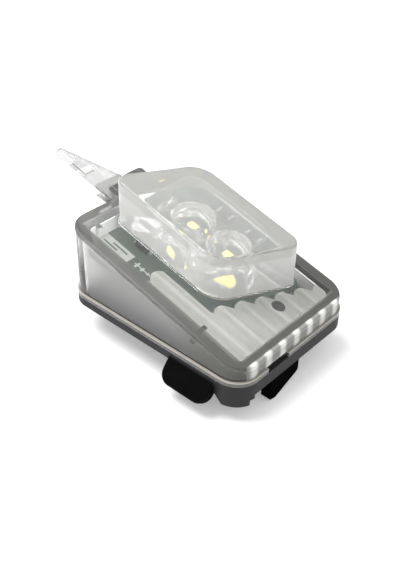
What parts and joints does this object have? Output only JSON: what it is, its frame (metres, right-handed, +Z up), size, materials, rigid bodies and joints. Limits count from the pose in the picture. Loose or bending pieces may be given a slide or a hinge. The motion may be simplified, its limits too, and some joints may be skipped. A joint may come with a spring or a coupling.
{
  "type": "door handle light",
  "caption": "Clear wedge-shaped lamp for a car door handle: a lens block and clip prongs on a clear cover, chip lamps on a slanted board, and a black base with a plug socket.",
  "frame": {"origin": "centre of the base plate's flat underside, between the walls of the wedge body", "axes": "+Z up through the lens block, +X from the tall clip end towards the low end, +Y across the body"},
  "size_m": [0.0559, 0.0333, 0.0289],
  "materials": {
    "clear_plastic": "clear",
    "black_plastic": "satin",
    "board": "satin",
    "lamp_white": "matte",
    "phosphor": "gloss",
    "tin": "satin",
    "chip_black": "matte",
    "pin_metal": "tinned",
    "solder": "gloss"
  },
  "bodies": {
    "root": {"lens_cover": "clear_plastic", "base": "black_plastic", "circuit_board": "board", "led_rear_housing": "lamp_white", "led_front_housing": "lamp_white", "led_rear_phosphor": "phosphor", "led_front_phosphor": "phosphor", "led_rear_leads": "tin", "led_front_leads": "tin", "resistor_a_body": "chip_black", "resistor_b_body": "chip_black", "resistor_a_caps": "tin", "resistor_b_caps": "tin", "diode_body": "chip_black", "diode_leads": "tin", "terminal_positive": "pin_metal", "terminal_negative": "pin_metal", "terminal_solder": "solder"}
  },
  "joints": []
}
